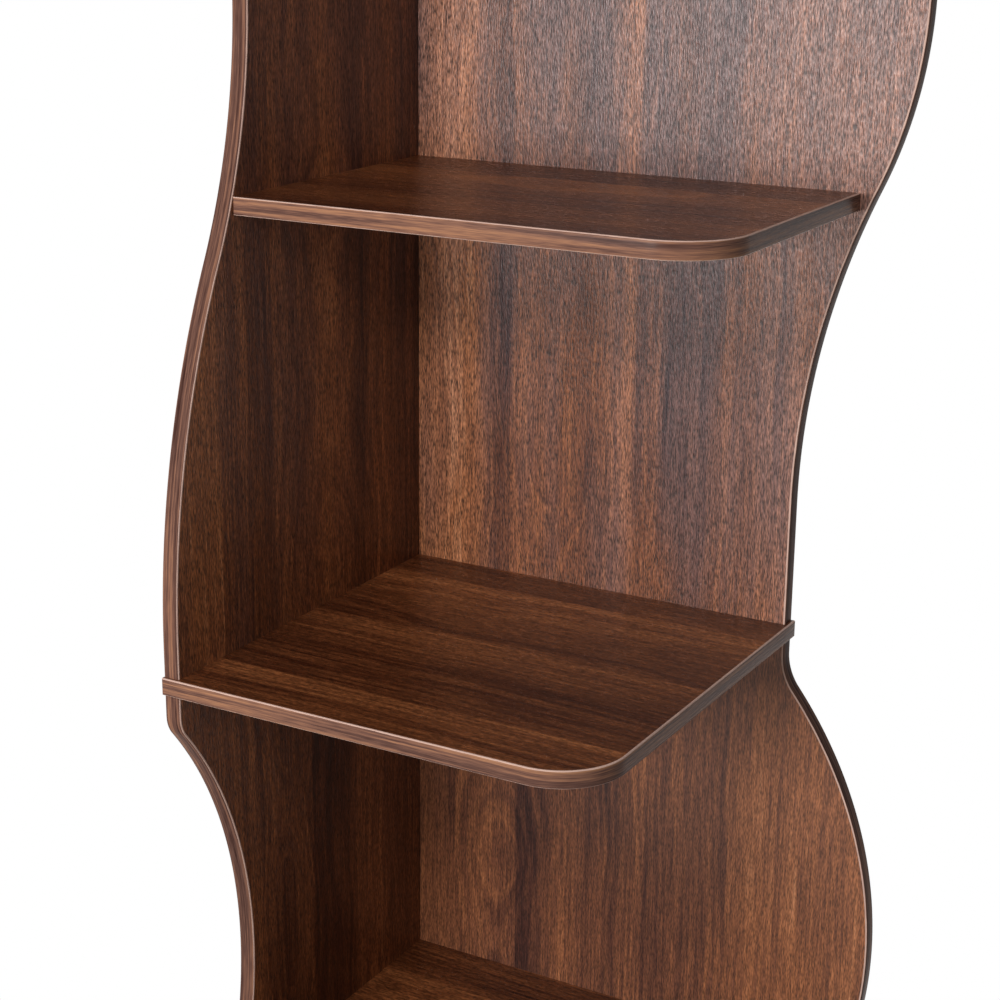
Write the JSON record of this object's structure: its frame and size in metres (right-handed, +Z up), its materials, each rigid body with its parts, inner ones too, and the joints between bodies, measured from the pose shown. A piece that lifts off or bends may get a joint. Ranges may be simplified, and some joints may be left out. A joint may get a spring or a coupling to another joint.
{
  "type": "corner shelf",
  "caption": "Tall corner shelf in two stacked sections, with wavy side panels, square boards with one rounded corner and a smaller shelf in each section.",
  "frame": {"origin": "on the floor, under the middle of the unit's bounding box", "axes": "+X along the right wall away from the room corner, -Y along the left wall toward the front, +Z up"},
  "size_m": [0.491, 0.4, 1.638],
  "materials": {
    "laminate": "satin walnut woodgrain laminate on chipboard",
    "edge_band": "satin walnut woodgrain band with plain rounded arrises",
    "zinc": "zinc plated",
    "dark_plastic": "moulded"
  },
  "bodies": {
    "root": {"base_screw_1": "zinc", "base_screw_2": "zinc", "base_screw_3": "zinc", "base_screw_4": "zinc", "bottom_board": "laminate", "bottom_board_band": "edge_band", "cam_above_middle_1": "zinc", "cam_above_middle_2": "zinc", "cam_above_middle_3": "zinc", "cam_above_middle_4": "zinc", "cam_below_middle_1": "zinc", "cam_below_middle_2": "zinc", "cam_below_middle_3": "zinc", "cam_below_middle_4": "zinc", "cam_below_top_1": "zinc", "cam_below_top_2": "zinc", "cam_below_top_3": "zinc", "cam_below_top_4": "zinc", "glide_1": "dark_plastic", "glide_2": "dark_plastic", "glide_3": "dark_plastic", "glide_4": "dark_plastic", "lower_corner_screw_1": "zinc", "lower_corner_screw_2": "zinc", "lower_corner_screw_3": "zinc", "lower_left_panel": "laminate", "lower_left_panel_band": "edge_band", "lower_right_panel": "laminate", "lower_right_panel_band": "edge_band", "lower_shelf": "laminate", "lower_shelf_band": "edge_band", "lower_shelf_screw_1": "zinc", "lower_shelf_screw_2": "zinc", "lower_shelf_screw_3": "zinc", "lower_shelf_screw_4": "zinc", "middle_board": "laminate", "middle_board_band": "edge_band", "middle_bolt_1": "zinc", "middle_bolt_2": "zinc", "middle_bolt_3": "zinc", "middle_bolt_4": "zinc", "top_board": "laminate", "top_board_band": "edge_band", "top_bolt_1": "zinc", "top_bolt_2": "zinc", "top_bolt_3": "zinc", "top_bolt_4": "zinc", "upper_corner_screw_1": "zinc", "upper_corner_screw_2": "zinc", "upper_corner_screw_3": "zinc", "upper_left_panel": "laminate", "upper_left_panel_band": "edge_band", "upper_right_panel": "laminate", "upper_right_panel_band": "edge_band", "upper_shelf": "laminate", "upper_shelf_band": "edge_band", "upper_shelf_screw_1": "zinc", "upper_shelf_screw_2": "zinc", "upper_shelf_screw_3": "zinc", "upper_shelf_screw_4": "zinc"}
  },
  "joints": []
}
